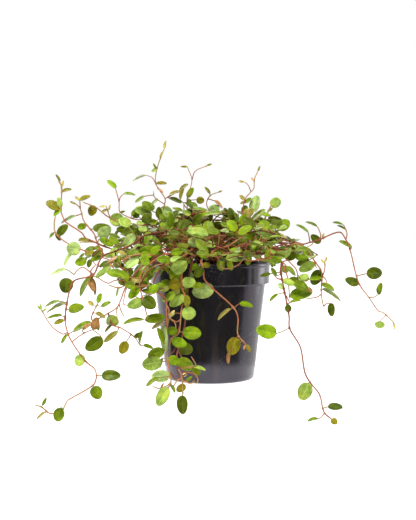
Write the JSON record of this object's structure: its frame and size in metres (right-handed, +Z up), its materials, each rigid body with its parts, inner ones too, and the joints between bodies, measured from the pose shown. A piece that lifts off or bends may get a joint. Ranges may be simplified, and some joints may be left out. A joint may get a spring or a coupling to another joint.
{
  "type": "potted wire vine",
  "caption": "Wire vine in a round black plastic nursery pot: wiry red-brown stems with small round glossy leaves arch over the rim, trail down and run out over the table",
  "frame": {"origin": "centre of the pot's base, on the surface that it stands on", "axes": "+Z up along the pot's axis; -Y is the side that faces the viewer of the picture, where the longest stems run out over the surface; +X is to that viewer's right"},
  "size_m": [0.309, 0.3367, 0.209],
  "materials": {
    "pot_plastic": "glossy black",
    "soil": "matt, grainy peat and bark",
    "leafy_stem": "glossy green leaves on red-brown stems"
  },
  "bodies": {
    "root": {"nursery_pot": "pot_plastic", "potting_mix": "soil", "vine_back_1": "leafy_stem", "vine_back_2": "leafy_stem", "vine_back_3": "leafy_stem", "vine_back_4": "leafy_stem", "vine_back_5": "leafy_stem", "vine_back_6": "leafy_stem", "vine_back_7": "leafy_stem", "vine_back_8": "leafy_stem", "vine_back_9": "leafy_stem", "vine_cascade_left": "leafy_stem", "vine_cascade_low": "leafy_stem", "vine_cascade_main": "leafy_stem", "vine_crown_front": "leafy_stem", "vine_crown_left": "leafy_stem", "vine_crown_middle": "leafy_stem", "vine_front_middle": "leafy_stem", "vine_front_pot": "leafy_stem", "vine_left_arch": "leafy_stem", "vine_left_crest": "leafy_stem", "vine_left_fork": "leafy_stem", "vine_left_hanging": "leafy_stem", "vine_left_runner": "leafy_stem", "vine_left_tip": "leafy_stem", "vine_right_arch": "leafy_stem", "vine_right_drop": "leafy_stem", "vine_right_runner": "leafy_stem", "vine_right_short": "leafy_stem", "vine_rim_loop": "leafy_stem", "vine_top_left": "leafy_stem", "vine_top_middle": "leafy_stem", "vine_top_pink": "leafy_stem", "vine_top_right": "leafy_stem", "vine_top_tall": "leafy_stem"}
  },
  "joints": []
}
